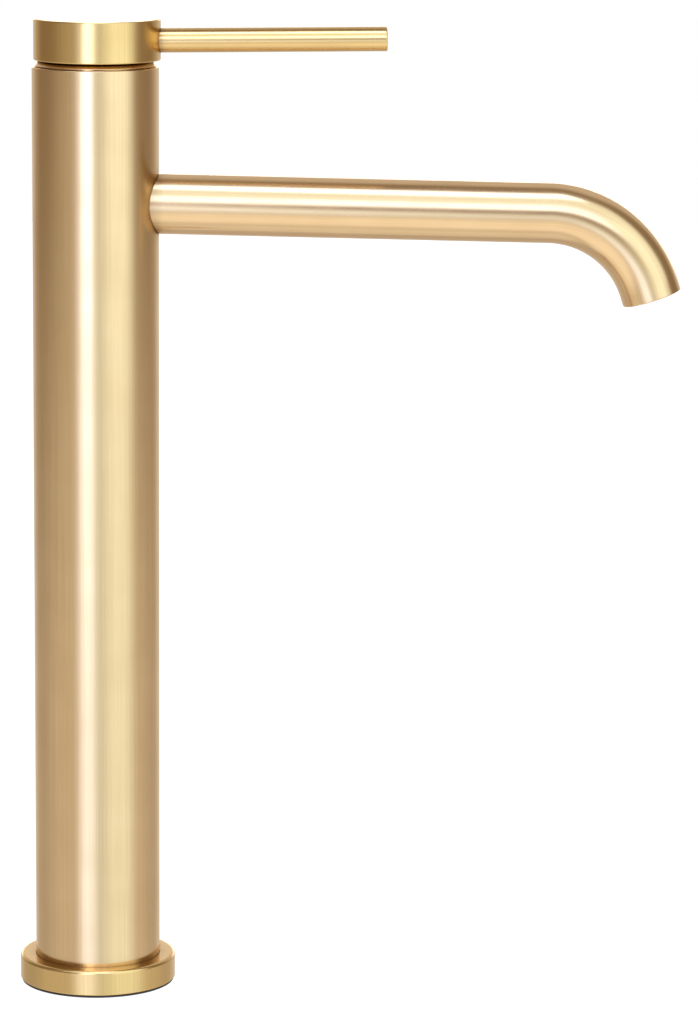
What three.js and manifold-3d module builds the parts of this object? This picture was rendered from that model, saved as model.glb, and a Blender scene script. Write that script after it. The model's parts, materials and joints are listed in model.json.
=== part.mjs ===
// Tall single-lever basin mixer with a straight spout, satin gold.
// Millimetres, +Z up, +X along the spout.
// The origin is on the column's axis, where its foot meets the deck.
import * as THREE from 'three';
import { mergeVertices } from 'three/addons/utils/BufferGeometryUtils.js';
import Module from 'manifold-3d';

const wasm = await Module();
wasm.setup();

// Driving dimensions
const gap = 0.3; // running room between neighbouring pieces
const bigSides = 48;
const midSides = 32;
const smallSides = 20;
const tinySides = 8;

const column = { radius: 21, wall: 2.3, bottom: 0.8, top: 311.3, topChamfer: 0.5 };
const flange = { radius: 26.26, bottom: 0.8, top: 9.27, topRound: 1.2, bottomChamfer: 0.3 };
const gasket = { outer: 25.8, inner: 18.9, thickness: 0.5 };
const flangeSeal = { section: 0.75, height: 5.05 };
const plug = { height: 13, studX: -9, studRadius: 3.3 };
const hoseWay = { x: [2.5, 14.5], y: [-9.5, 9.5], round: 4 };
const spout = { radius: 10, bore: 8.5, height: 266.08, dip: 0.017, start: 10.3 };
const bend = { start: 150.4, radius: 36.2, angle: 1.238, steps: 13, lip: 3.3 };
const valve = { bottom: 240, shoulder: 299.5, top: 305.5, neckRadius: 16.9 };
const pocket = { radius: 14.3, floor: 277.6 }; // takes the cartridge
const socket = { chamberStart: 0.8, chamberRadius: 8.3, start: 8.5 }; // takes the spout
const hoseThread = { top: 252, radius: 4.6 };
const pivotHeight = 294.4; // the lever's pin, above the deck
const cartridge = { radius: 14, inner: 12.6, roofBottom: 5.1, roofTop: 8.6, mouth: 9.6 };
const ports = { radius: 2.8, places: { hot: [-4.2, 5.2], cold: [-4.2, -5.2], outlet: [5.5, 0] } };
const rotor = { radius: 12.3, bottom: -3.4, shoulder: 4.8, top: 9.2, neckRadius: 9.3 };
const pin = { radius: 1.5, halfLength: 11.5 };
const stem = { width: 7, top: 31, tailRadius: 1.4, ballRadius: 1.8, ballDepth: 5.4 };
const dome = { radius: 26.4, thickness: 1.5, bottom: 17.2, mouth: 13, collarBottom: 5.6 };
const cap = { radius: 21.02, offset: 0.6, bottom: 19.01, top: 32.71, cavity: 26.95, edge: 0.4 };
const lever = { radius: 4.03, height: 25.2, rise: 0.0126, tip: 96.4, shoulder: 19.7, chamfer: 0.4 };
const leverThread = { radius: 2.5, end: 15.6 };
const setScrew = { radius: 2, height: 29.4, length: 7, keyRadius: 1.15, keyDepth: 2.5 };

const columnBore = column.radius - column.wall;
const insertRadius = columnBore - gap;

// Finishes
const satinGold = { color: 0xc9a468, roughness: 0.34, metalness: 1 };
const rawBrass = { color: 0xb08d4f, roughness: 0.5, metalness: 1 };
const steel = { color: 0x9c9ea0, roughness: 0.35, metalness: 1 };
const ceramic = { color: 0xe9e6dd, roughness: 0.3, metalness: 0 };
const whitePlastic = { color: 0xd9d6cc, roughness: 0.55, metalness: 0 };
const darkPlastic = { color: 0x3c3f42, roughness: 0.6, metalness: 0 };
const rubber = { color: 0x1b1b1c, roughness: 0.85, metalness: 0 };

// Turns a closed geometry into a solid that can be cut and joined.
function toSolid(geometry) {
  const bare = geometry.clone();
  bare.deleteAttribute('normal');
  bare.deleteAttribute('uv');
  const welded = mergeVertices(bare, 1e-4);
  const corners = welded.index.array;
  const kept = [];
  for (let i = 0; i < corners.length; i += 3) {
    const [a, b, c] = corners.slice(i, i + 3);
    if (a !== b && b !== c && c !== a) kept.push(a, b, c);
  }
  const vertProperties = Float32Array.from(welded.attributes.position.array);
  return new wasm.Manifold(new wasm.Mesh({ numProp: 3, vertProperties, triVerts: Uint32Array.from(kept) }));
}

// A body of revolution about Z. Its outline is [radius, height] points, outer side upwards.
function turned(outline, sides = bigSides) {
  const closed = [...outline, outline[0]].map(([r, z]) => new THREE.Vector2(r, z));
  return toSolid(new THREE.LatheGeometry(closed, sides).rotateX(Math.PI / 2));
}

function ring(inner, outer, bottom, top, sides = bigSides) {
  return turned([[inner, bottom], [outer, bottom], [outer, top], [inner, top]], sides);
}

function disc(radius, bottom, top, sides = bigSides) {
  return ring(0, radius, bottom, top, sides);
}

// Points on a circle round [r, z], from one angle above the horizontal to another.
function arc(r, z, radius, from, to, steps) {
  return Array.from({ length: steps + 1 }, (_, i) => {
    const angle = from + ((to - from) * i) / steps;
    return [r + radius * Math.cos(angle), z + radius * Math.sin(angle)];
  });
}

function ringSeal(radius, section, height) {
  return turned(arc(radius, height, section, 0, 2 * Math.PI, tinySides).slice(0, -1));
}

function alongX(radius, from, to, sides = midSides) {
  const bar = new THREE.CylinderGeometry(radius, radius, to - from, sides);
  return toSolid(bar.rotateZ(Math.PI / 2).translate((from + to) / 2, 0, 0));
}

function alongY(radius, halfLength, sides = smallSides) {
  return toSolid(new THREE.CylinderGeometry(radius, radius, 2 * halfLength, sides));
}

function block([x0, x1], [y0, y1], [z0, z1]) {
  const box = new THREE.BoxGeometry(x1 - x0, y1 - y0, z1 - z0);
  return toSolid(box.translate((x0 + x1) / 2, (y0 + y1) / 2, (z0 + z1) / 2));
}

function ball(radius) {
  return toSolid(new THREE.SphereGeometry(radius, smallSides, smallSides / 2));
}

function prism(shape, bottom, top) {
  const settings = { depth: top - bottom, bevelEnabled: false, curveSegments: 6 };
  return toSolid(new THREE.ExtrudeGeometry(shape, settings).translate(0, 0, bottom));
}

function polygon(corners, radius) {
  const shape = new THREE.Shape();
  for (let i = 0; i < corners; i += 1) {
    const angle = (2 * Math.PI * i) / corners;
    shape[i ? 'lineTo' : 'moveTo'](radius * Math.cos(angle), radius * Math.sin(angle));
  }
  shape.closePath();
  return shape;
}

function roundedRectangle([x0, x1], [y0, y1], round) {
  const shape = new THREE.Shape();
  shape.absarc(x1 - round, y1 - round, round, 0, Math.PI / 2);
  shape.absarc(x0 + round, y1 - round, round, Math.PI / 2, Math.PI);
  shape.absarc(x0 + round, y0 + round, round, Math.PI, 1.5 * Math.PI);
  shape.absarc(x1 - round, y0 + round, round, 1.5 * Math.PI, 2 * Math.PI);
  shape.closePath();
  return shape;
}

function cut(solid, ...tools) {
  return tools.reduce((rest, tool) => rest.subtract(tool), solid);
}

function join(solid, ...others) {
  return others.reduce((whole, other) => whole.add(other), solid);
}

// Puts a solid into the scene graph as one named piece with a material of its own.
function addPiece(parent, name, solid, finish, x = 0, y = 0, z = 0) {
  const { vertProperties, triVerts } = solid.getMesh();
  const geometry = new THREE.BufferGeometry();
  geometry.setAttribute('position', new THREE.BufferAttribute(vertProperties, 3));
  geometry.setIndex(new THREE.BufferAttribute(triVerts, 1));
  geometry.computeVertexNormals();
  const mesh = new THREE.Mesh(geometry, new THREE.MeshStandardMaterial(finish));
  mesh.name = name;
  mesh.position.set(x, y, z);
  parent.add(mesh);
}

function addGroup(parent, x, z, turnAboutY = 0) {
  const group = new THREE.Group();
  group.position.set(x, 0, z);
  group.rotation.y = turnAboutY;
  parent.add(group);
  return group;
}

// A bore along the spout's dipping axis, in the column's frame.
function spoutBore(radius, from, to) {
  const dip = [0, THREE.MathUtils.radToDeg(spout.dip), 0];
  return alongX(radius, from, to).rotate(dip).translate([0, 0, spout.height]);
}

// Column, its foot and its flange
function addColumn(parent) {
  const { radius, bottom, top, topChamfer } = column;
  const tube = turned([
    [columnBore, bottom],
    [radius, bottom],
    [radius, top - topChamfer],
    [radius - topChamfer, top],
    [columnBore, top],
  ]);
  const spoutHole = spoutBore(spout.radius + gap, columnBore / 2, radius + 1);
  addPiece(parent, 'column_body', cut(tube, spoutHole), satinGold);
}

function addFoot(parent) {
  const body = disc(insertRadius, 0, plug.height);
  const hoses = prism(roundedRectangle(hoseWay.x, hoseWay.y, hoseWay.round), -1, plug.height + 1);
  const stud = disc(plug.studRadius, -1, plug.height + 1, smallSides).translate([plug.studX, 0, 0]);
  addPiece(parent, 'base_plug', cut(body, hoses, stud), rawBrass);
  addPiece(parent, 'base_gasket', ring(gasket.inner, gasket.outer, 0, gasket.thickness), rubber);
}

function addFlange(parent) {
  const { radius, bottom, top, topRound, bottomChamfer } = flange;
  const bore = column.radius + gap;
  const outline = [
    [bore, bottom],
    [radius - bottomChamfer, bottom],
    [radius, bottom + bottomChamfer],
    ...arc(radius - topRound, top - topRound, topRound, 0, Math.PI / 2, 4),
    [bore, top],
  ];
  const { section, height } = flangeSeal;
  const groove = ring(bore - 1, bore + 2 * section + gap, height - section - gap, height + section + gap);
  addPiece(parent, 'base_flange', cut(turned(outline), groove), satinGold);
  addPiece(parent, 'flange_ring_seal', ringSeal(bore + section, section, height), rubber);
}

// Valve body: a brass block with two inlets below, the cartridge's pocket above and the spout's socket
function addValveBody(parent) {
  const { bottom, shoulder, top, neckRadius } = valve;
  const blank = turned([
    [0, bottom],
    [insertRadius, bottom],
    [insertRadius, shoulder],
    [neckRadius, shoulder],
    [neckRadius, top],
    [0, top],
  ]);
  const inlets = [ports.places.hot, ports.places.cold].flatMap(([x, y]) => [
    disc(ports.radius, bottom - 1, pocket.floor + 1, smallSides).translate([x, y, 0]),
    disc(hoseThread.radius, bottom - 1, hoseThread.top, smallSides).translate([x, y, 0]),
  ]);
  const outlet = disc(ports.radius, spout.height, pocket.floor + 1, smallSides);
  const body = cut(
    blank,
    disc(pocket.radius, pocket.floor, top + 1),
    spoutBore(socket.chamberRadius, socket.chamberStart, socket.start + 1),
    spoutBore(spout.radius + gap, socket.start, columnBore + 1),
    outlet.translate([...ports.places.outlet, 0]),
    ...inlets,
  );
  addPiece(parent, 'valve_body', body, rawBrass);
}

// The spout's centre line: straight, one bend and a short straight lip, one step per station.
class SpoutLine extends THREE.Curve {
  getPoint(t, target = new THREE.Vector3()) {
    const station = t * (bend.steps + 2);
    if (station <= 1) return target.set(spout.start + (bend.start - spout.start) * station, 0, 0);
    const turn = bend.angle * Math.min((station - 1) / bend.steps, 1);
    const past = Math.max(station - 1 - bend.steps, 0) * bend.lip;
    const x = bend.start + bend.radius * Math.sin(turn) + past * Math.cos(turn);
    return target.set(x, 0, -bend.radius * (1 - Math.cos(turn)) - past * Math.sin(turn));
  }

  getUtoTmapping(u) {
    return u;
  }
}

function addSpout(parent) {
  const group = addGroup(parent, 0, spout.height, spout.dip);
  const section = new THREE.Shape().absarc(0, 0, spout.radius, 0, 2 * Math.PI);
  section.holes.push(new THREE.Path().absarc(0, 0, spout.bore, 0, 2 * Math.PI, true));
  const line = new SpoutLine();
  const settings = { steps: bend.steps + 2, curveSegments: midSides / 2, extrudePath: line };
  addPiece(group, 'spout_tube', toSolid(new THREE.ExtrudeGeometry(section, settings)), satinGold);

  const washer = alongX(spout.radius, socket.start + gap, spout.start - gap);
  const washerHole = alongX(spout.bore, 0, spout.start);
  addPiece(group, 'spout_washer', cut(washer, washerHole), rubber);
  const mouth = line.getPoint(1);
  addAerator(addGroup(group, mouth.x, mouth.z, bend.angle - Math.PI / 2));
}

// The aerator stands in the spout's mouth. Its own Z axis runs up into the tube from the rim.
const aerator = { radius: 8.2, wall: 1.3, lip: 0.8, bottom: 0.6, top: 6.6 };
const jets = { radius: 0.75, rings: [[0, 1], [2.3, 5], [4.7, 10]], top: 3.9 }; // [pitch radius, count]
const screen = { rim: 0.7, wire: 0.2, places: [-3.9, -1.3, 1.3, 3.9], top: 5.0 };
const aeratorWasher = { width: 2.2, thickness: 0.9 };

function addAerator(parent) {
  const { radius, wall, lip, bottom, top } = aerator;
  const inner = radius - wall;
  const housing = turned([
    [inner - lip, bottom],
    [radius, bottom],
    [radius, top],
    [inner, top],
    [inner, bottom + lip],
    [inner - lip, bottom + lip],
  ], midSides);
  addPiece(parent, 'aerator_housing', housing, darkPlastic);

  const jetHoles = jets.rings.flatMap(([pitch, count]) => Array.from({ length: count }, (_, i) => {
    const angle = (2 * Math.PI * i) / count;
    const hole = disc(jets.radius, 0, top, tinySides);
    return hole.translate([pitch * Math.cos(angle), pitch * Math.sin(angle), 0]);
  }));
  const insert = disc(inner - gap, bottom + lip + gap, jets.top, midSides);
  addPiece(parent, 'aerator_insert', cut(insert, ...jetHoles), whitePlastic);

  addPiece(parent, 'aerator_screen', wireScreen(inner - gap, jets.top + gap), steel);
  const washerBottom = top + gap;
  const washerOuter = radius - 2 * gap; // stands clear of the bend's wall
  const washer = ring(washerOuter - aeratorWasher.width, washerOuter, washerBottom,
    washerBottom + aeratorWasher.thickness, midSides);
  addPiece(parent, 'aerator_washer', washer, rubber);
}

// A rim with two crossing layers of wires.
function wireScreen(radius, bottom) {
  const { rim, wire, places, top } = screen;
  const wires = places.flatMap((place) => {
    const reach = Math.sqrt((radius - rim / 2) ** 2 - place ** 2);
    const width = [place - wire, place + wire];
    return [
      block(width, [-reach, reach], [bottom + wire / 2, bottom + 2 * wire]),
      block([-reach, reach], width, [bottom + wire, top - wire / 2]),
    ];
  });
  return join(ring(radius - rim, radius, bottom, top, midSides), ...wires);
}

// Cartridge: base with its seals, two ceramic discs, the disc's carrier, the turning head and the housing
// Heights here and below are from the lever's pin.
const stack = { base: [-16.5, -13.5], fixed: [-13.2, -11.2], moving: [-10.9, -8.9], carrier: [-8.6, -4] };
const portSeal = { inner: 3.1, outer: 4.3, height: 0.9 };
const slidingRadius = 8.6;
const mixing = { x: [-6, 4], y: [-6, 6], round: 2, depth: 1.1 }; // the hollow under the moving disc

function portHoles(radius, bottom, top) {
  const hole = disc(radius, bottom, top, smallSides);
  return Object.values(ports.places).map(([x, y]) => hole.translate([x, y, 0]));
}

function addCartridge(parent) {
  const { radius, inner, roofBottom, roofTop, mouth } = cartridge;
  const [baseBottom, baseTop] = stack.base;
  const [fixedBottom, fixedTop] = stack.fixed;
  const base = cut(
    disc(inner - gap, baseBottom, baseTop),
    ...portHoles(ports.radius, baseBottom - 1, baseTop + 1),
    ...portHoles(portSeal.outer + gap, baseBottom - 1, baseBottom + portSeal.height + gap),
  );
  addPiece(parent, 'cartridge_base', base, darkPlastic);
  for (const [name, [x, y]] of Object.entries(ports.places)) {
    const washer = ring(portSeal.inner, portSeal.outer, 0, portSeal.height, smallSides);
    addPiece(parent, `port_seal_${name}`, washer, rubber, x, y, baseBottom);
  }
  const fixed = cut(
    disc(inner - gap, fixedBottom, fixedTop),
    ...portHoles(ports.radius, fixedBottom - 1, fixedTop + 1),
  );
  addPiece(parent, 'fixed_disc', fixed, ceramic);
  const housing = turned([
    [inner, baseBottom],
    [radius, baseBottom],
    [radius, roofTop],
    [mouth, roofTop],
    [mouth, roofBottom],
    [inner, roofBottom],
  ]);
  addPiece(parent, 'cartridge_housing', housing, whitePlastic);
}

function addSlidingDisc(parent) {
  const [movingBottom, movingTop] = stack.moving;
  const [carrierBottom, carrierTop] = stack.carrier;
  const hollow = roundedRectangle(mixing.x, mixing.y, mixing.round);
  const moving = cut(
    disc(slidingRadius, movingBottom, movingTop),
    prism(hollow, movingBottom - 1, movingBottom + mixing.depth),
  );
  addPiece(parent, 'moving_disc', moving, ceramic);
  const half = stem.ballRadius + gap;
  const ballPocket = block([-half, half], [-half, half], [carrierBottom + 1, carrierTop + 1]);
  const carrier = cut(disc(slidingRadius, carrierBottom, carrierTop), ballPocket);
  addPiece(parent, 'disc_carrier', carrier, darkPlastic);
}

// The turning head holds the lever's pin, and two lugs below it take the carrier round.
const slot = { front: 4.1, rear: -7.6, side: 0.4 }; // the stem leans back in it
const lug = { halfLength: 5, middle: 10.2, halfWidth: 1, bottom: -7 };

function addRotor(parent) {
  const { radius, bottom, shoulder, top, neckRadius } = rotor;
  const blank = turned([
    [0, bottom],
    [radius, bottom],
    [radius, shoulder],
    [neckRadius, shoulder],
    [neckRadius, top],
    [0, top],
  ]);
  const slotWidth = [-stem.width / 2 - slot.side, stem.width / 2 + slot.side];
  const lugs = [-1, 1].map((side) => {
    const middle = side * lug.middle;
    const width = [middle - lug.halfWidth, middle + lug.halfWidth];
    return block([-lug.halfLength, lug.halfLength], width, [lug.bottom, bottom + 0.5]);
  });
  const head = cut(
    join(blank, ...lugs),
    block([-slot.front, slot.front], slotWidth, [bottom - 1, 1]),
    block([slot.rear, slot.front], slotWidth, [0, top + 1]),
    alongY(pin.radius + gap, radius + 1),
  );
  addPiece(parent, 'cartridge_rotor', head, whitePlastic);
  addPiece(parent, 'pivot_pin', alongY(pin.radius, pin.halfLength), steel);
}

const nut = { bottom: 8.9, hexBottom: 11.7, top: 15.6, hexCorner: 15.6, bore: 10.6 };

function addRetainers(parent) {
  const spigot = disc(pocket.radius - gap, nut.bottom, nut.top);
  const hexagon = prism(polygon(6, nut.hexCorner), nut.hexBottom, nut.top);
  const bore = disc(nut.bore, nut.bottom - 1, nut.top + 1);
  addPiece(parent, 'retaining_nut', cut(join(spigot, hexagon), bore), rawBrass);

  const { radius, thickness, bottom, mouth, collarBottom } = dome;
  const collarInner = valve.neckRadius + gap;
  const inside = radius - thickness;
  const outline = [
    [collarInner, collarBottom],
    [insertRadius, collarBottom],
    [insertRadius, bottom],
    ...arc(0, 0, radius, Math.asin(bottom / radius), Math.acos(mouth / radius), 5),
    ...arc(0, 0, inside, Math.acos(mouth / inside), Math.acos(collarInner / inside), 3),
  ];
  addPiece(parent, 'dome_nut', turned(outline), satinGold);
}

// Handle: everything that tilts on the pin, with the pin's axis as its origin
function addStem(parent) {
  const half = stem.width / 2;
  const shape = join(
    block([-half, half], [-half, half], [0, stem.top]),
    alongY(half, half),
    disc(stem.tailRadius, -stem.ballDepth, 0, smallSides),
    ball(stem.ballRadius).translate([0, 0, -stem.ballDepth]),
  );
  addPiece(parent, 'lever_stem', cut(shape, alongY(pin.radius + gap, half + 1)), steel);
}

function addCap(parent) {
  const { radius, offset, bottom, top, cavity, edge } = cap;
  const blank = turned([
    [0, bottom],
    [radius - edge, bottom],
    [radius, bottom + edge],
    [radius, top - edge],
    [radius - edge, top],
    [0, top],
  ]);
  const hollowBottom = bottom - 5;
  const hollow = turned([
    [0, hollowBottom],
    ...arc(0, 0, cavity, Math.asin(hollowBottom / cavity), Math.PI / 2, 14),
  ]);
  const half = stem.width / 2 + gap;
  const screwHole = alongX(setScrew.radius + gap, -2 * radius, -stem.width / 2, smallSides);
  const body = cut(
    blank.translate([offset, 0, 0]),
    hollow,
    block([-half, half], [-half, half], [cavity - 2, stem.top + gap]),
    screwHole.translate([0, 0, setScrew.height]),
    leverSeat(),
  );
  addPiece(parent, 'handle_cap', body.translate([-offset, 0, 0]), satinGold, offset);
}

function leverSeat() {
  const recess = alongX(lever.radius + gap, lever.shoulder - gap, 2 * cap.radius);
  const thread = alongX(leverThread.radius + gap, leverThread.end - gap, cap.radius, smallSides);
  const rise = [0, -THREE.MathUtils.radToDeg(lever.rise), 0];
  return join(recess, thread).rotate(rise).translate([0, 0, lever.height]);
}

function addLever(parent) {
  const group = addGroup(parent, 0, lever.height, -lever.rise);
  const { radius, tip, shoulder, chamfer } = lever;
  const rod = turned([
    [0, leverThread.end],
    [leverThread.radius, leverThread.end],
    [leverThread.radius, shoulder],
    [radius, shoulder],
    [radius, tip - chamfer],
    [radius - chamfer, tip],
    [0, tip],
  ], midSides);
  addPiece(group, 'lever_rod', rod.rotate([0, 90, 0]), satinGold);
}

function addSetScrew(parent) {
  const { radius, height, length, keyRadius, keyDepth } = setScrew;
  const tip = -stem.width / 2 - gap;
  const tail = tip - length;
  const key = prism(polygon(6, keyRadius), -1, keyDepth).rotate([0, 90, 0]).translate([tail, 0, 0]);
  const screw = cut(alongX(radius, tail, tip, smallSides), key);
  addPiece(parent, 'handle_set_screw', screw, steel, 0, 0, height);
}

const mixer = new THREE.Group();
addColumn(mixer);
addFoot(mixer);
addFlange(mixer);
addValveBody(mixer);
addSpout(mixer);

const cartridgeGroup = addGroup(mixer, 0, pivotHeight);
addCartridge(cartridgeGroup);
addRetainers(cartridgeGroup);
addRotor(cartridgeGroup);
addSlidingDisc(cartridgeGroup);

const handle = addGroup(mixer, 0, pivotHeight);
addStem(handle);
addCap(handle);
addLever(handle);
addSetScrew(handle);

export default mixer;
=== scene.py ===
import json
import math
import bpy
import bmesh
from mathutils import Matrix, Vector


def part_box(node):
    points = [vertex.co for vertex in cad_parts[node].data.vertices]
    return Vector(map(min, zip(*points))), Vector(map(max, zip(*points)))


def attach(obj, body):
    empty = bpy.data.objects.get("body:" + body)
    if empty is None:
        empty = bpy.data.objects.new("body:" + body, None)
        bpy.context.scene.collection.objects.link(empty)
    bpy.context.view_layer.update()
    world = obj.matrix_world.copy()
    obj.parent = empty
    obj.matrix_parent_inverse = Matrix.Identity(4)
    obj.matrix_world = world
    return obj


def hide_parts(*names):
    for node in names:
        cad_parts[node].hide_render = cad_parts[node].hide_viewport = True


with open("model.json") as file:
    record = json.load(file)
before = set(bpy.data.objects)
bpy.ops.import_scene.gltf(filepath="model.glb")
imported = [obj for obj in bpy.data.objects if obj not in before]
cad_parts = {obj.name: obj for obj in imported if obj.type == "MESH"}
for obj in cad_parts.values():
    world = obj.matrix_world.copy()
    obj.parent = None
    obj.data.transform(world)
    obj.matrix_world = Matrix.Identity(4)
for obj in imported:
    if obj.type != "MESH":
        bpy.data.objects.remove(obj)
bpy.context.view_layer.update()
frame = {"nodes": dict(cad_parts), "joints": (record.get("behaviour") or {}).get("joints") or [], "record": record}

mm = 0.001
cadNodes = frame["nodes"]
tiltPin = Vector(next(j["pos_m"] for j in frame["joints"] if j["name"] == "handle_lift"))
print("frame loaded:", len(cadNodes), "parts")


# Camera

shot = {
    "place": (0.08476, -1.53327, 0.44012),
    "tiltDown": 0.1789,      # radians below level
    "roll": 0.0067,
    "lens": 163.73,          # mm on a 36 mm frame
}


def addCamera():
    tilt, roll = shot["tiltDown"], shot["roll"]
    side = Vector((1, 0, 0))
    up = Vector((0, math.sin(tilt), math.cos(tilt)))
    ahead = Vector((0, math.cos(tilt), -math.sin(tilt)))
    right = side * math.cos(roll) + up * math.sin(roll)
    above = up * math.cos(roll) - side * math.sin(roll)
    cam = bpy.data.cameras.new("shotCamera")
    cam.lens = shot["lens"]
    cam.sensor_width = 36
    cam.clip_start = 0.05
    obj = bpy.data.objects.new("shotCamera", cam)
    facing = Matrix((right, above, -ahead)).transposed().to_4x4()
    obj.matrix_world = Matrix.Translation(shot["place"]) @ facing
    bpy.context.scene.collection.objects.link(obj)
    bpy.context.scene.camera = obj


addCamera()


# Helpers for materials

def startMaterial(name):
    mat = bpy.data.materials.new(name)
    mat.use_nodes = True
    nodes = mat.node_tree.nodes
    return mat, mat.node_tree, nodes["Principled BSDF"]


def addNode(tree, kind, sockets=None, **settings):
    node = tree.nodes.new(kind)
    for key, value in settings.items():
        setattr(node, key, value)
    for key, value in (sockets or {}).items():
        if isinstance(value, bpy.types.NodeSocket):
            tree.links.new(value, node.inputs[key])
        else:
            node.inputs[key].default_value = value
    return node


def doMath(tree, operation, a, b=None):
    sockets = {0: a} if b is None else {0: a, 1: b}
    return addNode(tree, "ShaderNodeMath", sockets, operation=operation).outputs[0]


def mixColour(tree, factor, a, b, blend="MIX"):
    node = addNode(tree, "ShaderNodeMix", data_type="RGBA", blend_type=blend, clamp_factor=True)
    for index, value in ((0, factor), (6, a), (7, b)):
        if isinstance(value, bpy.types.NodeSocket):
            tree.links.new(value, node.inputs[index])
        elif index == 0:
            node.inputs[index].default_value = value
        else:
            node.inputs[index].default_value = (*value, 1)
    return node.outputs[2]


def spread(tree, value, low, high, toLow, toHigh, smooth=False):
    kind = "SMOOTHSTEP" if smooth else "LINEAR"
    node = addNode(tree, "ShaderNodeMapRange", {0: value, 1: low, 2: high, 3: toLow, 4: toHigh},
                   interpolation_type=kind)
    return node.outputs[0]


# Studio: soft boxes painted on the sky, and a pale floor

# Each box is (middle, reach) sideways, (middle, reach) upwards, how softly it ends sideways and upwards,
# all in degrees, then its power and colour. Sideways, 0 is the camera's own side and 180 is behind the mixer.
cool, fresh, neutral = (0.86, 1.0, 1.38), (0.88, 1.0, 1.06), (1.0, 0.99, 0.98)
warm, pale, rosy = (1.0, 0.90, 0.76), (1.0, 0.95, 0.88), (1.0, 0.94, 0.93)
softBoxes = {
    "lowGlow": ((0, 200), (-28, 19), (5, 4), 0.55, pale),
    "frontGlow": ((0, 68), (-22, 22), (24, 3), 0.60, warm),
    "frontLow": ((8, 104), (-28, 19), (26, 4), 0.79, pale),
    "between": ((8, 16), (-12, 9), (8, 4), 0.95, fresh),
    "floorUnder": ((0, 200), (-90, 19), (5, 9), 1.02, neutral),
    "floorFront": ((0, 90), (-48, 21), (40, 7), 1.30, neutral),
    "floorBack": ((180, 90), (-52, 38), (40, 8), 0.66, rosy),
    "backWall": ((180, 52), (28, 34), (14, 8), 0.74, rosy),
    "backBand": ((180, 36), (-15, 21), (10, 5), 0.78, neutral),
    "backGlow": ((180, 26), (5, 5), (9, 2), 3.6, neutral),
    "keyLow": ((-15, 14), (-12, 9), (10, 4), 1.85, cool),
    "fillLow": ((44, 26), (-12, 10), (17, 4), 1.4, fresh),
    "tallKey": ((-13, 8), (16, 24), (3, 3), 3.8, cool),
    "wideFill": ((43, 23), (16, 23), (15, 5), 1.75, fresh),
    "sideBox": ((58, 22), (36, 28), (9, 8), 1.5, fresh),
    "frontBox": ((2, 22), (26, 11), (6, 3), 2.6, cool),
    "upperGap": ((0, 62), (48, 12), (10, 5), 1.45, fresh),
    "topBox": ((0, 62), (73, 9), (10, 4), 4.0, cool),
}
studio = {
    "roomColour": (0.31, 0.24, 0.17),
    "white": (1.0, 1.0, 1.0),
    "floorHalfWidth": 0.75,
    "floorDepth": (-2.2, 2.2),
    "floorGlow": 0.85,
    "floorColour": (0.30, 0.30, 0.30),
}


def addSky():
    world = bpy.data.worlds.new("studio")
    bpy.context.scene.world = world
    world.use_nodes = True
    tree = world.node_tree
    tree.nodes.clear()
    direction = addNode(tree, "ShaderNodeTexCoord").outputs["Generated"]
    x, y, z = addNode(tree, "ShaderNodeSeparateXYZ", {0: direction}).outputs
    azimuth = doMath(tree, "ARCTAN2", x, doMath(tree, "MULTIPLY", y, -1))
    elevation = doMath(tree, "ARCSINE", z)
    colour = studio["roomColour"]
    for sideways, upwards, edges, power, tint in softBoxes.values():
        middle, sideReach = (math.radians(v) for v in sideways)
        level, upReach = (math.radians(v) for v in upwards)
        sideEdge, upEdge = (math.radians(v) for v in edges)
        fromMiddle = doMath(tree, "SUBTRACT", azimuth, middle)
        wrapped = addNode(tree, "ShaderNodeMath", {0: fromMiddle, 1: math.pi, 2: -math.pi}, operation="WRAP")
        across = doMath(tree, "ABSOLUTE", wrapped.outputs[0])
        upward = doMath(tree, "ABSOLUTE", doMath(tree, "SUBTRACT", elevation, level))
        maskAcross = spread(tree, across, sideReach - sideEdge, sideReach + sideEdge, 1, 0, smooth=True)
        maskUp = spread(tree, upward, upReach - upEdge, upReach + upEdge, 1, 0, smooth=True)
        mask = doMath(tree, "MULTIPLY", maskAcross, maskUp)
        glow = tuple(channel * power for channel in tint)
        colour = mixColour(tree, mask, colour, glow, blend="LIGHTEN")
    boxes = addNode(tree, "ShaderNodeBackground", {"Color": colour, "Strength": 1.0})
    plain = addNode(tree, "ShaderNodeBackground", {"Color": (*studio["white"], 1), "Strength": 1.0})
    seen = addNode(tree, "ShaderNodeLightPath").outputs["Is Camera Ray"]
    pick = addNode(tree, "ShaderNodeMixShader", {0: seen, 1: boxes.outputs[0], 2: plain.outputs[0]})
    addNode(tree, "ShaderNodeOutputWorld", {0: pick.outputs[0]})


def addFloor():
    half = studio["floorHalfWidth"]
    near, far = studio["floorDepth"]
    mesh = bpy.data.meshes.new("floor")
    mesh.from_pydata([(-half, near, 0), (half, near, 0), (half, far, 0), (-half, far, 0)], [], [(0, 1, 2, 3)])
    floor = bpy.data.objects.new("floor", mesh)
    bpy.context.scene.collection.objects.link(floor)
    mat, tree, shader = startMaterial("paleFloor")
    shader.inputs["Base Color"].default_value = (*studio["floorColour"], 1)
    shader.inputs["Roughness"].default_value = 1.0
    shader.inputs["Specular IOR Level"].default_value = 0.0
    shader.inputs["Emission Color"].default_value = (*studio["white"], 1)
    shader.inputs["Emission Strength"].default_value = studio["floorGlow"]
    mesh.materials.append(mat)
    floor.visible_glossy = False  # the metal mirrors the sky's lower half instead


addSky()
addFloor()
bpy.context.scene.view_settings.view_transform = "Standard"
print("studio ready")


# Helpers for meshes

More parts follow.
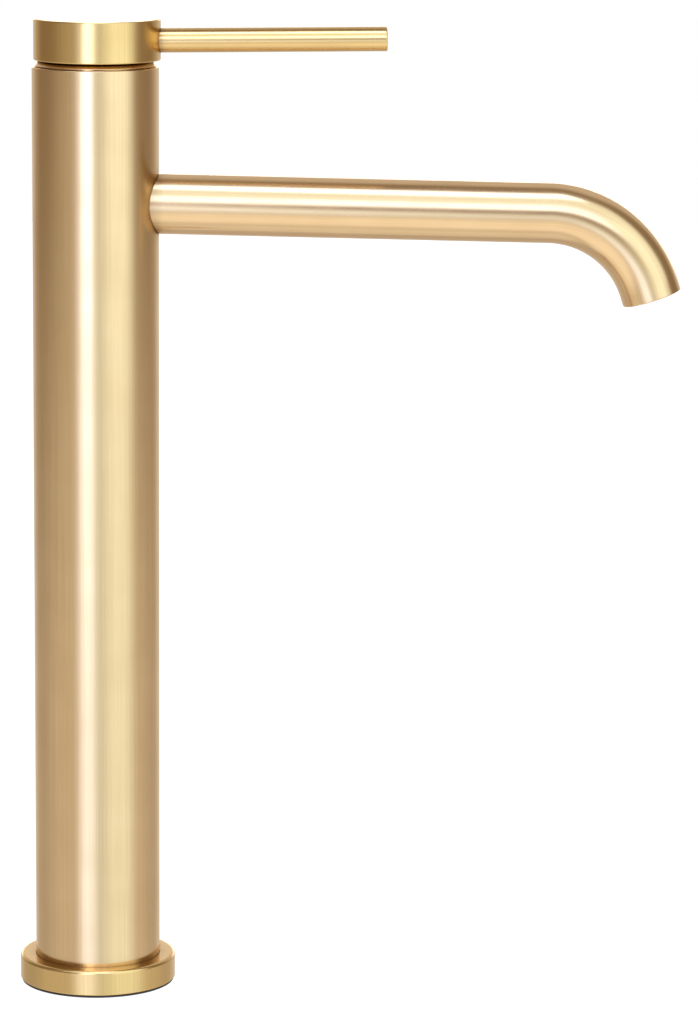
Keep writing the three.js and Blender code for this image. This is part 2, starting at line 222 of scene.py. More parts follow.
# Outlines are lists of (radius, height, rounding) in mm, outer side upwards.
# Every corner of a visible piece is rounded a little, so each point has one clear normal.
def roundOutline(corners, closed=True, steps=5):
    almostStraight, mostOfSide = 1e-4, 0.49    # radians, and a rounding's largest share of a side
    points = []
    count = len(corners)
    for i, (r, z, rounding) in enumerate(corners):
        here = Vector((r, z))
        first, last = (not closed and i == 0), (not closed and i == count - 1)
        if first or last:
            other = Vector(corners[1][:2]) if first else Vector(corners[i - 1][:2])
            along = (other - here) if first else (here - other)
            along.normalize()
            points.append((here, Vector((along.y, -along.x))))
            continue
        before = (Vector(corners[i - 1][:2]) - here)
        after = (Vector(corners[(i + 1) % count][:2]) - here)
        inward, outward = before.normalized(), after.normalized()
        normalIn = Vector((-inward.y, inward.x))
        normalOut = Vector((outward.y, -outward.x))
        bend = math.pi - inward.angle(outward)
        if bend < almostStraight:
            points.append((here, normalIn))
            continue
        reach = rounding * math.tan(bend / 2)
        reach = min(reach, before.length * mostOfSide, after.length * mostOfSide)
        radius = reach / math.tan(bend / 2)
        turning = 1 if normalIn.x * normalOut.y - normalIn.y * normalOut.x > 0 else -1
        start = here + inward * reach
        centre = start - normalIn * radius * turning
        startAngle = math.atan2(normalIn.y, normalIn.x)
        for step in range(steps + 1):
            angle = startAngle + turning * bend * step / steps
            normal = Vector((math.cos(angle), math.sin(angle)))
            points.append((centre + normal * radius * turning, normal))
    return points


def buildRings(name, rings, closed, material, around):
    # each ring is (list of places, list of normals, travelled length); a ring with one place is a pole;
    # the UV runs around and along the piece, both in metres
    verts, normals, faces, uvs = [], [], [], []
    starts = []
    sides = max(len(ring[0]) for ring in rings)
    for places, facing, _ in rings:
        starts.append(len(verts))
        verts.extend(places)
        normals.extend(facing)
    pairs = list(zip(range(len(rings) - 1), range(1, len(rings))))
    if closed:
        pairs.append((len(rings) - 1, 0))
    for low, high in pairs:
        vLow, vHigh = rings[low][2], rings[high][2]
        if high == 0:
            vHigh = vLow + (Vector(rings[0][0][0]) - Vector(rings[low][0][0])).length
        for side in range(sides):
            nextSide = (side + 1) % sides
            u0, u1 = around * side / sides, around * (side + 1) / sides
            a, b = starts[low], starts[high]
            if len(rings[low][0]) == 1:
                faces.append((a, b + nextSide, b + side))
                uvs.extend(((u0, vLow), (u1, vHigh), (u0, vHigh)))
            elif len(rings[high][0]) == 1:
                faces.append((a + side, a + nextSide, b))
                uvs.extend(((u0, vLow), (u1, vLow), (u0, vHigh)))
            else:
                faces.append((a + side, a + nextSide, b + nextSide, b + side))
                uvs.extend(((u0, vLow), (u1, vLow), (u1, vHigh), (u0, vHigh)))
    mesh = bpy.data.meshes.new(name)
    mesh.from_pydata(verts, [], faces)
    layer = mesh.uv_layers.new(name="round")
    for loop, uv in zip(layer.data, uvs):
        loop.uv = uv
    mesh.shade_smooth()
    mesh.normals_split_custom_set_from_vertices(normals)
    if material:
        mesh.materials.append(material)
    obj = bpy.data.objects.new(name, mesh)
    bpy.context.scene.collection.objects.link(obj)
    return obj


def turn(name, corners, material, place=Matrix.Identity(4), sides=96, closed=True, steps=5, rows=None):
    outline = roundOutline(corners, closed, steps)
    if rows:  # extra rows on the long straights, so that cut edges stay clean
        outline = addRows(outline, closed, rows)
    rings, travelled, last = [], 0.0, None
    spin = place.to_3x3().normalized()
    for point, normal in outline:
        r, z = point.x * mm, point.y * mm
        travelled += (point - last).length * mm if last else 0.0
        last = point
        if r < 1e-7:
            outward = Vector((0, 0, 1 if normal.y > 0 else -1))
            rings.append(([place @ Vector((0, 0, z))], [spin @ outward], travelled))
            continue
        places, facing = [], []
        for side in range(sides):
            angle = 2 * math.pi * side / sides
            c, s = math.cos(angle), math.sin(angle)
            places.append(place @ Vector((r * c, r * s, z)))
            facing.append(spin @ Vector((normal.x * c, normal.x * s, normal.y)))
        rings.append((places, facing, travelled))
    around = 2 * math.pi * mm * max(point.x for point, _ in outline)
    return buildRings(name, rings, closed, material, around)


def addRows(outline, closed, spacing):
    result = []
    count = len(outline)
    for i, (point, normal) in enumerate(outline):
        result.append((point, normal))
        if not closed and i == count - 1:
            break
        nextPoint, nextNormal = outline[(i + 1) % count]
        pieces = int((nextPoint - point).length / spacing)
        for k in range(1, pieces):
            t = k / pieces
            result.append((point.lerp(nextPoint, t), normal.lerp(nextNormal, t).normalized()))
    return result


def cutWith(obj, *tools):
    # cuts the tools out of the piece and removes them from the scene
    for tool in tools:
        mod = obj.modifiers.new("cut", "BOOLEAN")
        mod.operation = "DIFFERENCE"
        mod.solver = "EXACT"
        mod.object = tool
    depsgraph = bpy.context.evaluated_depsgraph_get()
    mesh = bpy.data.meshes.new_from_object(obj.evaluated_get(depsgraph))
    obj.modifiers.clear()
    obj.data = mesh
    for tool in tools:
        bpy.data.objects.remove(tool)


def reshade(obj, surfaces):
    # surfaces(point) lists the true directions that the surface may face there
    closeEnough = math.cos(math.radians(24))
    mesh = obj.data
    mesh.shade_smooth()
    normals = [None] * len(mesh.loops)
    for face in mesh.polygons:
        for index in face.loop_indices:
            point = mesh.vertices[mesh.loops[index].vertex_index].co
            best, closeness = face.normal, closeEnough
            for candidate in surfaces(point):
                if candidate.dot(face.normal) > closeness:
                    best, closeness = candidate, candidate.dot(face.normal)
            normals[index] = tuple(best)
    mesh.normals_split_custom_set(normals)


def paintShade(obj, paintedShade):
    # the given function runs from 0, plain metal, to 1, the finish's full colour of painted shade, for shade in
    # creases and joints
    layer = obj.data.attributes.new("paintedShade", "FLOAT", "POINT")
    for value, vert in zip(layer.data, obj.data.vertices):
        value.value = paintedShade(vert.co)


def fadeOff(distance, reach):
    return math.exp(-max(distance, 0) / reach)


def settle(obj, body, node):
    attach(obj, body)
    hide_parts(node)


# Finishes

# brushed gold: fine lines that follow the piece, slight clouds in colour and gloss, and painted shade in the
# creases
goldFinish = {
    "colour": (0.755, 0.540, 0.300),
    "shade": (0.690, 0.482, 0.255),
    # the dark brown of the painted shade in creases and joints
    "paintedShadeColour": (0.20, 0.105, 0.045),
    "edgeTint": (1.0, 0.93, 0.82),
    "roughness": (0.17, 0.24),
    "anisotropy": 0.45,
    "fineLines": (7000, 25, 1),       # noise cycles per metre, around and along
    "broadLines": (1500, 9, 1),
    "lineBump": 0.10,
    "lineDepth": 0.00002,
    "cloudSize": 55,
}


def makeBrushedGold(name, colour=None, shade=None, paintedShadeColour=None):
    f = goldFinish
    mat, tree, shader = startMaterial(name)
    uv = addNode(tree, "ShaderNodeUVMap", uv_map="round").outputs[0]
    lines = []
    for scale in (f["fineLines"], f["broadLines"]):
        stretched = addNode(tree, "ShaderNodeMapping", {"Vector": uv, "Scale": scale}).outputs[0]
        noise = {"Vector": stretched, "Scale": 1.0, "Detail": 2.0, "Roughness": 0.55}
        lines.append(addNode(tree, "ShaderNodeTexNoise", noise).outputs[0])
    brushing = doMath(tree, "MULTIPLY", doMath(tree, "ADD", lines[0], lines[1]), 0.5)
    place = addNode(tree, "ShaderNodeTexCoord").outputs["Object"]
    cloud = addNode(tree, "ShaderNodeTexNoise",
                    {"Vector": place, "Scale": f["cloudSize"], "Detail": 2.0}).outputs[0]
    lineShare = 0.7
    mixed = doMath(tree, "ADD", doMath(tree, "MULTIPLY", brushing, lineShare),
                   doMath(tree, "MULTIPLY", cloud, 1 - lineShare))
    even = spread(tree, mixed, 0.38, 0.62, 0, 1)
    base = mixColour(tree, even, shade or f["shade"], colour or f["colour"])
    # painted shade: the point attribute mixes the dark brown in where shade falls in creases and joints
    paintedShade = addNode(tree, "ShaderNodeAttribute", attribute_name="paintedShade").outputs["Fac"]
    final = mixColour(tree, paintedShade, base, paintedShadeColour or f["paintedShadeColour"])
    tree.links.new(final, shader.inputs["Base Color"])
    low, high = f["roughness"]
    tree.links.new(spread(tree, mixed, 0.36, 0.64, high, low), shader.inputs["Roughness"])
    shader.inputs["Metallic"].default_value = 1.0
    shader.inputs["Specular Tint"].default_value = (*f["edgeTint"], 1)
    shader.inputs["Anisotropic"].default_value = f["anisotropy"]
    tangent = addNode(tree, "ShaderNodeTangent", direction_type="UV_MAP", uv_map="round").outputs[0]
    tree.links.new(tangent, shader.inputs["Tangent"])
    bump = addNode(tree, "ShaderNodeBump",
                   {"Strength": f["lineBump"], "Distance": f["lineDepth"], "Height": brushing})
    tree.links.new(bump.outputs[0], shader.inputs["Normal"])
    return mat


satinGold = makeBrushedGold("satinGold")
yellowGold = makeBrushedGold("yellowGold", (0.735, 0.508, 0.222), (0.660, 0.446, 0.182))
# a copy of the gold with a darker painted shade colour, for the dome nut in the cap's shadow
shadedDomeGold = makeBrushedGold("shadedDomeGold", paintedShadeColour=(0.085, 0.046, 0.02))


def makePlain(name, colour, other, roughness, metallic=0.0, size=400, bump=0.1, bumpDepth=0.00005):
    # every other material: two near colours and two near glosses, mixed by a fine noise
    mat, tree, shader = startMaterial(name)
    place = addNode(tree, "ShaderNodeTexCoord").outputs["Object"]
    grain = addNode(tree, "ShaderNodeTexNoise", {"Vector": place, "Scale": size, "Detail": 4.0}).outputs[0]
    even = spread(tree, grain, 0.35, 0.65, 0, 1)
    tree.links.new(mixColour(tree, even, colour, other), shader.inputs["Base Color"])
    tree.links.new(spread(tree, grain, 0.35, 0.65, roughness[0], roughness[1]), shader.inputs["Roughness"])
    shader.inputs["Metallic"].default_value = metallic
    node = addNode(tree, "ShaderNodeBump", {"Strength": bump, "Distance": bumpDepth, "Height": grain})
    tree.links.new(node.outputs[0], shader.inputs["Normal"])
    return mat


rawBrass = makePlain("rawBrass", (0.60, 0.44, 0.20), (0.50, 0.36, 0.16), (0.30, 0.45), metallic=1.0, size=900)
turnedSteel = makePlain("turnedSteel", (0.56, 0.56, 0.57), (0.48, 0.48, 0.49), (0.22, 0.36),
                        metallic=1.0, size=1200)
whitePlastic = makePlain("whitePlastic", (0.78, 0.77, 0.73), (0.72, 0.71, 0.67), (0.42, 0.55))
darkPlastic = makePlain("darkPlastic", (0.035, 0.036, 0.038), (0.05, 0.05, 0.052), (0.45, 0.6))
blackRubber = makePlain("blackRubber", (0.020, 0.015, 0.012), (0.032, 0.026, 0.021), (0.7, 0.85),
                        size=1500, bump=0.3)
lappedCeramic = makePlain("lappedCeramic", (0.86, 0.85, 0.82), (0.82, 0.81, 0.78), (0.12, 0.2), size=700)
print("finishes ready")


# Column, with the spout's sizes, because its hole follows the spout

def halfWidth(node):
    low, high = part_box(node)
    return (high.y - low.y) / 2 / mm


def heights(node):
    low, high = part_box(node)
    return low.z / mm, high.z / mm


spout = {
    "dip": 0.017,            # radians below level
    "wall": 1.5,
    "bendStart": 150.4,
    "bendRadius": 36.2,
    "bendAngle": 1.238,
    "lip": 3.3,
    "rimRound": 0.35,
    "holeGap": 0.3,
    "straightSteps": 44, "bendSteps": 64, "rimSteps": 6,
    "sides": 96,
    # painted shade on the spout where it meets the column
    "shade": (0.6, 1.2),     # how dark at the column, and how far it reaches
}
spoutRadius = halfWidth("spout_tube")
spoutLow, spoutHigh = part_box("spout_tube")
spoutStart = spoutLow.x / mm
spoutHeight = spoutHigh.z / mm - spoutRadius * math.cos(spout["dip"]) + spoutStart * math.sin(spout["dip"])
spoutPlace = Matrix.Translation((0, 0, spoutHeight * mm)) @ Matrix.Rotation(spout["dip"], 4, "Y")
layAlongX = Matrix.Rotation(math.pi / 2, 4, "Y")

column = {
    "wall": 2.3,
    "topRound": 0.45, "footRound": 0.2,
    "sides": 180, "rows": 1.5,
    "drill": (10, 30),                # from the axis outwards
    # footShade and spoutShade are painted shade, at the joint with the flange and around the spout's hole
    "footShade": (0.35, 0.8),         # how dark, and how far it reaches
    "spoutShade": (0.6, 1.4),
}


def makeColumn():
    radius = halfWidth("column_body")
    bottom, top = heights("column_body")
    bore = radius - column["wall"]
    obj = turn("column", [
        (bore, bottom, 0.1),
        (radius, bottom, column["footRound"]),
        (radius, top, column["topRound"]),
        (bore, top, 0.15),
    ], satinGold, sides=column["sides"], rows=column["rows"])
    hole = spoutRadius + spout["holeGap"]
    start, end = column["drill"]
    drill = turn("drill", [(0, start, 0), (hole, start, 0), (hole, end, 0), (0, end, 0)], None,
                 place=spoutPlace @ layAlongX, sides=128, closed=False)
    cutWith(obj, drill)
    up = Vector((0, 0, 1))

    def surfaces(p):
        out = Vector((p.x, p.y, 0)).normalized()
        local = spoutPlace.inverted() @ p
        inHole = spoutPlace.to_3x3() @ Vector((0, -local.y, -local.z)).normalized()
        return [out, -out, up, -up, inHole]

    reshade(obj, surfaces)
    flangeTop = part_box("base_flange")[1].z
    footDark, footReach = column["footShade"]
    spoutDark, spoutReach = column["spoutShade"]

    # painted shade near the foot and around the spout's hole
    def paintedShade(p):
        local = spoutPlace.inverted() @ p
        fromHole = math.hypot(local.y, local.z) - hole * mm
        nearFoot = footDark * fadeOff(p.z - flangeTop, footReach * mm)
        nearSpout = spoutDark * fadeOff(fromHole, spoutReach * mm) if p.x > 0 else 0
        return max(nearFoot, nearSpout)

    paintShade(obj, paintedShade)
    settle(obj, "body", "column_body")


makeColumn()
print("column ready")


# Foot: flange and gasket

# the flange's shade is painted shade on its top, next to the column
flange = {"topRound": 1.1, "footRound": 0.35, "gap": 0.12, "shade": (0.4, 1.8)}
gasket = {"inner": 18.9, "tuck": 0.15, "edgeRound": 0.1, "boreRound": 0.05}


def makeFlange():
    radius = halfWidth("base_flange")
    bottom, top = heights("base_flange")
    bore = halfWidth("column_body") + flange["gap"]
    obj = turn("flange", [
        (bore, bottom, 0.1),
        (radius, bottom, flange["footRound"]),
        (radius, top, flange["topRound"]),
        (bore, top, 0.15),
    ], yellowGold, sides=180, steps=8, rows=0.7)
    # painted shade on the flange's top, fading away from the column
    dark, reach = flange["shade"]
    paintShade(obj, lambda p: dark * fadeOff(math.hypot(p.x, p.y) - bore * mm, reach * mm))
    settle(obj, "body", "base_flange")


def makeGasket():
    radius = halfWidth("base_gasket")
    bottom, top = heights("base_gasket")
    top += gasket["tuck"]    # its top edge sits up in the flange
    obj = turn("gasket", [
        (gasket["inner"], bottom, gasket["boreRound"]),
        (radius, bottom, gasket["edgeRound"]),
        (radius, top, gasket["edgeRound"]),
        (gasket["inner"], top, gasket["boreRound"]),
    ], blackRubber, sides=128)
    settle(obj, "body", "base_gasket")


makeFlange()
makeGasket()
print("foot ready")


# Spout

def spoutStations():
    # (place, slope) along the centre line, in the spout's own frame, in mm and radians
    start, radius, angle = spout["bendStart"], spout["bendRadius"], spout["bendAngle"]
    straightSteps, bendSteps = spout["straightSteps"], spout["bendSteps"]
    stations = []
    for i in range(straightSteps):
        stations.append((Vector((spoutStart + (start - spoutStart) * i / straightSteps, 0, 0)), 0.0))
    for i in range(bendSteps + 1):
        turnBy = angle * i / bendSteps
        place = Vector((start + radius * math.sin(turnBy), 0, -radius * (1 - math.cos(turnBy))))
        stations.append((place, turnBy))
    return stations


def makeSpout():
    sides, steps = spout["sides"], spout["rimSteps"]
    outer, inner = spoutRadius, spoutRadius - spout["wall"]
    rings = []
    travelled = 0.0

    def addRing(centre, slope, radius, tilt=0.0):
        # tilt turns the normal from straight out towards the outlet
        nonlocal travelled
        ahead = Vector((math.cos(slope), 0, -math.sin(slope)))
        above = Vector((math.sin(slope), 0, math.cos(slope)))
        side = Vector((0, 1, 0))
        places, facing = [], []
        for i in range(sides):
            angle = 2 * math.pi * i / sides
            out = side * math.cos(angle) + above * math.sin(angle)
            places.append(spoutPlace @ ((centre + out * radius) * mm))
            facing.append(spoutPlace.to_3x3() @ (out * math.cos(tilt) + ahead * math.sin(tilt)))
        if rings:
            travelled += (Vector(places[0]) - Vector(rings[-1][0][0])).length
        rings.append((places, facing, travelled))

    stations = spoutStations()
    for centre, slope in stations:
        addRing(centre, slope, outer)
    lastCentre, slope = stations[-1]
    ahead = Vector((math.cos(slope), 0, -math.sin(slope)))
    rim = spout["rimRound"]
    wallMiddle = (outer + inner) / 2
    edge = lastCentre + ahead * (spout["lip"] - rim)
    addRing(edge, slope, outer)
    for i in range(1, steps + 1):
        angle = math.pi / 2 * i / steps
        addRing(edge + ahead * rim * math.sin(angle), slope, outer - rim + rim * math.cos(angle), angle)
    addRing(edge + ahead * rim, slope, wallMiddle, math.pi / 2)
    for i in range(steps + 1):
        angle = math.pi / 2 + math.pi / 2 * i / steps
        addRing(edge + ahead * rim * math.sin(angle), slope, inner + rim + rim * math.cos(angle), angle)
    for centre, slope in reversed(stations):
        addRing(centre, slope, inner, math.pi)
    obj = buildRings("spout", rings, True, satinGold, 2 * math.pi * spoutRadius * mm)
    # painted shade near the column
    outside = halfWidth("column_body") * mm
    dark, reach = spout["shade"]
    paintShade(obj, lambda p: dark * fadeOff(math.hypot(p.x, p.y) - outside, reach * mm))
    settle(obj, "body", "spout_tube")


makeSpout()
print("spout ready")


# Handle: cap and lever

cap = {
    "topRound": 0.5, "footRound": 0.4,
    "cavity": 26.95,                  # the hollow's radius about the tilt pin
    "cavityFoot": 25,                 # where its arc starts, degrees above level
    "cavitySteps": 39, "cavitySkin": 0.15,    # points within the skin are shaded as the hollow
    "screwHole": 2.3, "screwHoleEnd": -3.5,
    "socketSlack": 0.3,               # around the stem
    # painted shade in the cap around the lever
    "shade": (0.6, 0.8),              # how dark around the lever, and how far it reaches
}
lever = {
    "rise": 0.0126,                   # radians above level
    "endRound": 0.45,
    "slack": 0.3,                     # around the lever, in the cap
    "shoulder": 19.7,                 # from the column's axis, like the thread's end
    "threadRadius": 2.5, "threadEnd": 15.6,
    # painted shade on the lever next to the cap
    "shade": (0.7, 0.9),
}
leverLow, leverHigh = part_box("lever_rod")
leverRadius = (leverHigh.y - leverLow.y) / 2 / mm
leverTip = leverHigh.x / mm
leverAxisHeight = leverHigh.z / mm - leverRadius - (leverTip - lever["endRound"]) * math.sin(lever["rise"])
leverPlace = Matrix.Translation((0, 0, leverAxisHeight * mm)) @ Matrix.Rotation(-lever["rise"], 4, "Y")


def makeHollow():
    # a part of a ball about the tilt pin, which clears the dome nut
    pinHeight, reach = tiltPin.z / mm, cap["cavity"]
    low, steps = math.radians(cap["cavityFoot"]), cap["cavitySteps"]
    arcPoints = []
    for i in range(steps):
        angle = low + (math.pi / 2 - low) * i / steps
        arcPoints.append((reach * math.cos(angle), pinHeight + reach * math.sin(angle), 0))
    corners = [(0, arcPoints[0][1], 0), *arcPoints, (0, pinHeight + reach, 0)]
    return turn("hollow", corners, None, sides=128, closed=False)


def makeRecess():
    # the lever's seat in the cap's side, with the hole for its thread
    slack = lever["slack"]
    start, step = lever["threadEnd"] - slack, lever["shoulder"] - slack
    thread, seat, past = lever["threadRadius"] + slack, leverRadius + slack, 40
    corners = [(0, start), (thread, start), (thread, step), (seat, step), (seat, past), (0, past)]
    return turn("recess", [(r, z, 0) for r, z in corners], None,
                place=leverPlace @ layAlongX, sides=96, closed=False)


def makeSocket():
    # the square seat of the stem, from the hollow up past the stem's top
    low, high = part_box("lever_stem")
    slack = cap["socketSlack"] * mm
    width = high.y - low.y + 2 * slack
    top, bottom = high.z + slack, tiltPin.z + (cap["cavity"] - 2) * mm
    block = bmesh.new()
    bmesh.ops.create_cube(block, size=1)
    bmesh.ops.scale(block, vec=(width, width, top - bottom), verts=block.verts)
    bmesh.ops.translate(block, vec=(0, 0, (top + bottom) / 2), verts=block.verts)
    mesh = bpy.data.meshes.new("socket")
    block.to_mesh(mesh)
    block.free()
    socket = bpy.data.objects.new("socket", mesh)
    bpy.context.scene.collection.objects.link(socket)
    return socket


def makeCap():
    low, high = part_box("handle_cap")
    middle = (low.x + high.x) / 2
    radius = (high.y - low.y) / 2 / mm
    bottom, top = low.z / mm, high.z / mm
    obj = turn("handleCap", [
        (0, bottom, 0),
        (radius, bottom, cap["footRound"]),
        (radius, top, cap["topRound"]),
        (0, top, 0),
    ], yellowGold, place=Matrix.Translation((middle, 0, 0)), sides=180, closed=False, rows=1.2)
    hollow, recess = makeHollow(), makeRecess()
    screwLow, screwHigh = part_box("handle_set_screw")
    screwHeight = (screwLow.z + screwHigh.z) / 2
    wide, end, past = cap["screwHole"], cap["screwHoleEnd"], -60
    screwHole = turn("screwHole", [(0, past, 0), (wide, past, 0), (wide, end, 0), (0, end, 0)], None,
                     place=Matrix.Translation((0, 0, screwHeight)) @ layAlongX, sides=64, closed=False)
    cutWith(obj, hollow, recess, screwHole, makeSocket())
    up = Vector((0, 0, 1))

    def surfaces(p):
        out = Vector((p.x - middle, p.y, 0)).normalized()
        fromPin = p - tiltPin
        leverLocal = leverPlace.inverted() @ p
        intoRecess = leverPlace.to_3x3() @ Vector((0, -leverLocal.y, -leverLocal.z)).normalized()
        intoScrew = Vector((0, -p.y, screwHeight - p.z)).normalized()
        found = [out, up, -up, intoRecess, intoScrew]
        if abs(fromPin.length / mm - cap["cavity"]) < cap["cavitySkin"]:
            found.append(-fromPin.normalized())
        # the rounded edges
        rise = (p.z / mm - (top - cap["topRound"])) / cap["topRound"]
        if 0 < rise < 1:
            found.append((out * math.sqrt(1 - rise * rise) + up * rise).normalized())
        fall = ((bottom + cap["footRound"]) - p.z / mm) / cap["footRound"]
        if 0 < fall < 1:
            found.append((out * math.sqrt(1 - fall * fall) - up * fall).normalized())
        return found

    reshade(obj, surfaces)
    dark, reach = cap["shade"]
    leverSide = 15 * mm

    # painted shade around the lever's seat, on the lever's side
    def paintedShade(p):
        local = leverPlace.inverted() @ p
        fromLever = math.hypot(local.y, local.z) - (leverRadius + lever["slack"]) * mm
        return dark * fadeOff(fromLever, reach * mm) if p.x > leverSide else 0

    paintShade(obj, paintedShade)
    settle(obj, "handle", "handle_cap")


def makeLever():
    obj = turn("lever", [
        (0, lever["threadEnd"], 0),
        (lever["threadRadius"], lever["threadEnd"], 0.3),
        (lever["threadRadius"], lever["shoulder"], 0.1),
        (leverRadius, lever["shoulder"], 0.3),
        (leverRadius, leverTip, lever["endRound"]),
        (0, leverTip, 0),
    ], yellowGold, place=leverPlace @ layAlongX, sides=96, closed=False, rows=1)
    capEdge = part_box("handle_cap")[1].x
    # painted shade, fading away from the cap
    dark, reach = lever["shade"]
    paintShade(obj, lambda p: dark * fadeOff(p.x - capEdge, reach * mm))
    settle(obj, "handle", "lever_rod")


makeCap()
makeLever()
print("handle ready")


# Dome nut under the cap

# heights are above the tilt pin, which is the dome's centre
dome = {
    "radius": 26.7, "thickness": 1.5,
    "bottom": 17.2, "mouth": 13.0,
    "collarBottom": 5.6, "neck": 17.2,
    "outerSteps": 12, "innerSteps": 7,
    # painted shadow under the cap: it starts this far above the dome's lower edge and darkens fully over this
    # width
    "shadeStart": 0.45, "shadeWidth": 0.6,    # above the dome's lower edge
}


def makeDome():
    d = dome
    pinHeight = tiltPin.z / mm
    radius = math.sqrt(d["radius"] ** 2 - d["bottom"] ** 2)
    collar = halfWidth("valve_body")
    outline = [
        (d["neck"], pinHeight + d["collarBottom"], 0.1),
        (collar, pinHeight + d["collarBottom"], 0.1),
        (collar, pinHeight + d["bottom"], 0.1),
        (radius, pinHeight + d["bottom"], 0.15),
    ]
    low, high = math.asin(d["bottom"] / d["radius"]), math.acos(d["mouth"] / d["radius"])
    for i in range(1, d["outerSteps"]):
        angle = low + (high - low) * i / d["outerSteps"]
        outline.append((d["radius"] * math.cos(angle), pinHeight + d["radius"] * math.sin(angle), 0.5))
    inside = d["radius"] - d["thickness"]
    outline.append((d["mouth"], pinHeight + d["radius"] * math.sin(high), 0.2))
    low, high = math.acos(d["neck"] / inside), math.acos(d["mouth"] / inside)
    for i in range(d["innerSteps"] + 1):
        angle = high + (low - high) * i / d["innerSteps"]
        outline.append((inside * math.cos(angle), pinHeight + inside * math.sin(angle), 0.2))
    obj = turn("domeNut", outline, shadedDomeGold, sides=128, steps=3)
    rim = (pinHeight + d["bottom"]) * mm
    start, width = d["shadeStart"] * mm, d["shadeWidth"] * mm
    # painted shadow of the cap, darker towards the dome's top
    paintShade(obj, lambda p: min(max((p.z - rim - start) / width, 0), 1))
    settle(obj, "body", "dome_nut")


makeDome()
print("dome nut ready")


# Aerator in the spout's mouth

outletSlope = spout["bendAngle"]
outletAhead = Vector((math.cos(outletSlope), 0, -math.sin(outletSlope)))
outlet = spoutStations()[-1][0] + outletAhead * spout["lip"]
# this frame's Z runs from the rim up into the tube
outletTilt = Matrix.Rotation(outletSlope - math.pi / 2, 4, "Y")
outletPlace = spoutPlace @ Matrix.Translation(outlet * mm) @ outletTilt

aerator = {
    "radius": 8.2, "wall": 1.3, "lip": 0.8, "bottom": 0.6, "top": 6.6,
    "insert": (6.6, 1.7, 3.9),                        # radius, bottom, top
    "jets": ((0, 1), (2.3, 5), (4.7, 10)),            # pitch radius, count
    "jetRadius": 0.75, "insertRound": 0.15,
    "insertSides": 96, "jetSides": 24,
    "washer": (5.4, 7.6, 6.9, 7.8, 0.2),              # inner, outer, bottom, top, rounding
}


def makeSeal(name, node, size, place, steps=6):
    inner, outer, bottom, top, rounding = size
    corners = [(inner, bottom), (outer, bottom), (outer, top), (inner, top)]
    obj = turn(name, [(r, z, rounding) for r, z in corners], blackRubber, place=place, sides=96, steps=steps)
    settle(obj, "body", node)


def makeInsert():
    # a flat round plate with rings of jets, every edge a little rounded
    radius, bottom, top = aerator["insert"]
    rounding = aerator["insertRound"]
    curve = bpy.data.curves.new("insertOutline", "CURVE")
    curve.dimensions = "2D"
    curve.fill_mode = "BOTH"
    curve.extrude = ((top - bottom) / 2 - rounding) * mm
    curve.bevel_depth = rounding * mm
    curve.bevel_resolution = 3
    circles = [(0, 0, radius - rounding, aerator["insertSides"])]
    for pitch, count in aerator["jets"]:
        for i in range(count):
            angle = 2 * math.pi * i / count
            place = (pitch * math.cos(angle), pitch * math.sin(angle))
            circles.append((*place, aerator["jetRadius"] + rounding, aerator["jetSides"]))
    for x, y, size, sides in circles:
        spline = curve.splines.new("POLY")
        spline.points.add(sides - 1)
        spline.use_cyclic_u = True
        for k in range(sides):
            angle = 2 * math.pi * k / sides
            across, along = x + size * math.cos(angle), y + size * math.sin(angle)
            spline.points[k].co = (across * mm, along * mm, 0, 1)
    outline = bpy.data.objects.new("insertOutline", curve)
    bpy.context.scene.collection.objects.link(outline)
    mesh = bpy.data.meshes.new_from_object(outline.evaluated_get(bpy.context.evaluated_depsgraph_get()))
    bpy.data.objects.remove(outline)
    welded = bmesh.new()
    welded.from_mesh(mesh)
    bmesh.ops.remove_doubles(welded, verts=welded.verts, dist=1e-6)
    welded.transform(outletPlace @ Matrix.Translation((0, 0, (top + bottom) / 2 * mm)))
    welded.to_mesh(mesh)
    welded.free()
    mesh.shade_smooth()
    mesh.set_sharp_from_angle(angle=math.radians(50))
    mesh.materials.clear()
    mesh.materials.append(whitePlastic)
    obj = bpy.data.objects.new("aeratorInsert", mesh)
    bpy.context.scene.collection.objects.link(obj)
    settle(obj, "body", "aerator_insert")


def makeAerator():
    a = aerator
    inner = a["radius"] - a["wall"]
    housing = turn("aeratorHousing", [
        (inner - a["lip"], a["bottom"], 0.3),
        (a["radius"], a["bottom"], 0.35),
        (a["radius"], a["top"], 0.3),
        (inner, a["top"], 0.2),
        (inner, a["bottom"] + a["lip"], 0.15),
        (inner - a["lip"], a["bottom"] + a["lip"], 0.15),
    ], darkPlastic, place=outletPlace, sides=96)
    settle(housing, "body", "aerator_housing")

    makeInsert()
    makeSeal("aeratorWasher", "aerator_washer", a["washer"], outletPlace, steps=5)


makeAerator()
print("aerator ready")


# Seals, cartridge housing, pin and set screw

pinPlace = Matrix.Translation(tiltPin)
cartridge = {                         # heights are above the pin
    "foot": -16.5, "top": 8.6, "radius": 14, "bore": 12.6,
    "mouth": 9.6, "mouthFoot": 5.1,
}
seals = {                             # inner, outer, bottom, top, rounding
    "flange": (21.3, 22.8, 4.3, 5.8, 0.74),
    "spout": (8.5, 10.0, 8.8, 10.0, 0.25),
    "port": (3.1, 4.3, 0, 0.9, 0.3),
}
pin = {"radius": 1.5, "halfLength": 11.5, "endRound": 0.35}
screw = {"radius": 2, "endRound": 0.3, "keyRadius": 1.15, "keyDepth": 2.5}


def makeSeals():
    makeSeal("flangeSeal", "flange_ring_seal", seals["flange"], Matrix.Identity(4))
    makeSeal("spoutWasher", "spout_washer", seals["spout"], spoutPlace @ layAlongX)
    for side in ("hot", "cold", "outlet"):
        low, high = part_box("port_seal_" + side)
        place = Matrix.Translation(((low.x + high.x) / 2, (low.y + high.y) / 2, low.z))
        makeSeal(side + "PortSeal", "port_seal_" + side, seals["port"], place)


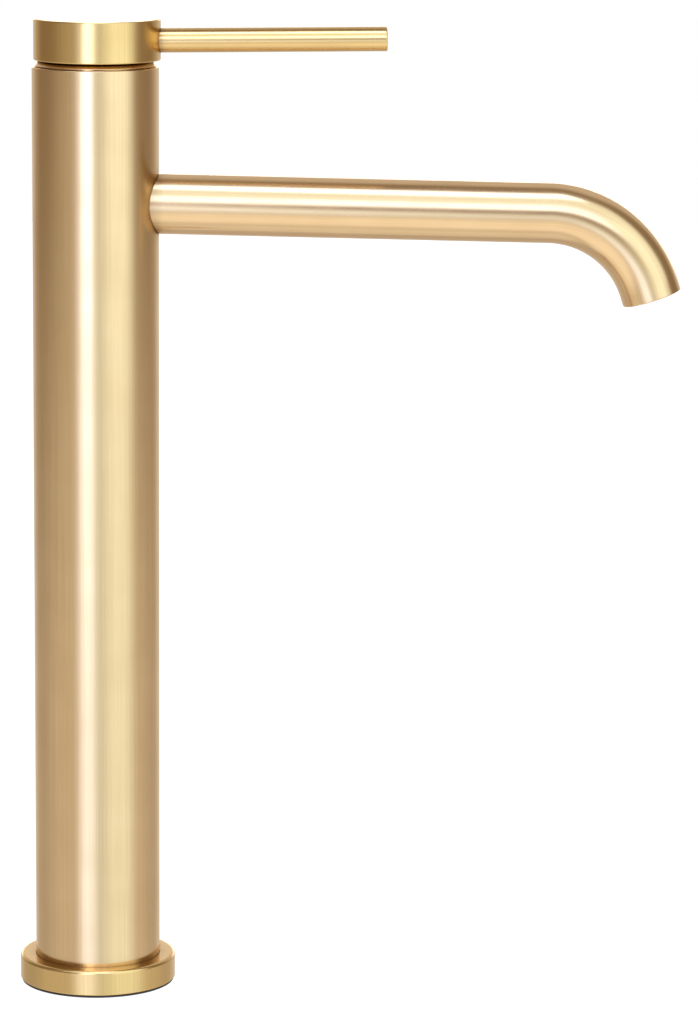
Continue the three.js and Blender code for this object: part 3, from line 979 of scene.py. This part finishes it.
def makeCartridgeHousing():
    c = cartridge
    obj = turn("cartridgeHousing", [
        (c["bore"], c["foot"], 0.2),
        (c["radius"], c["foot"], 0.4),
        (c["radius"], c["top"], 0.6),
        (c["mouth"], c["top"], 0.3),
        (c["mouth"], c["mouthFoot"], 0.2),
        (c["bore"], c["mouthFoot"], 0.3),
    ], whitePlastic, place=pinPlace, sides=128)
    settle(obj, "body", "cartridge_housing")


def makePin():
    radius, half, rounding = pin["radius"], pin["halfLength"], pin["endRound"]
    obj = turn("pivotPin", [(0, -half, 0), (radius, -half, rounding), (radius, half, rounding), (0, half, 0)],
               turnedSteel, place=pinPlace @ Matrix.Rotation(-math.pi / 2, 4, "X"), sides=48, closed=False)
    settle(obj, "cartridge_head", "pivot_pin")


def makeSetScrew():
    low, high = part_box("handle_set_screw")
    tail, tip = low.x / mm, high.x / mm
    place = Matrix.Translation((0, 0, (low.z + high.z) / 2)) @ layAlongX
    radius, rounding = screw["radius"], screw["endRound"]
    obj = turn("setScrew", [(0, tail, 0), (radius, tail, rounding), (radius, tip, rounding), (0, tip, 0)],
               turnedSteel, place=place, sides=64, closed=False)
    key, start, end = screw["keyRadius"], tail - 1, tail + screw["keyDepth"]
    hexSocket = turn("hexSocket", [(0, start, 0), (key, start, 0), (key, end, 0), (0, end, 0)],
                     None, place=place, sides=6, closed=False)
    cutWith(obj, hexSocket)
    obj.data.shade_smooth()
    obj.data.set_sharp_from_angle(angle=math.radians(30))
    settle(obj, "handle", "handle_set_screw")


makeSeals()
makeCartridgeHousing()
makePin()
makeSetScrew()
print("small parts ready")


# Inner parts keep their CAD shape and get a proper finish

finishes = {
    "raw_brass": rawBrass,
    "steel": turnedSteel,
    "white_plastic": whitePlastic,
    "dark_plastic": darkPlastic,
    "black_rubber": blackRubber,
    "ceramic_white": lappedCeramic,
}
slotOf = {part["node"]: part["material_slot"] for part in frame["record"]["subparts"]}
for name, obj in cadNodes.items():
    finish = finishes.get(slotOf[name])
    if finish and not obj.hide_render:
        for place in obj.material_slots:
            place.material = finish
print("inner parts finished")
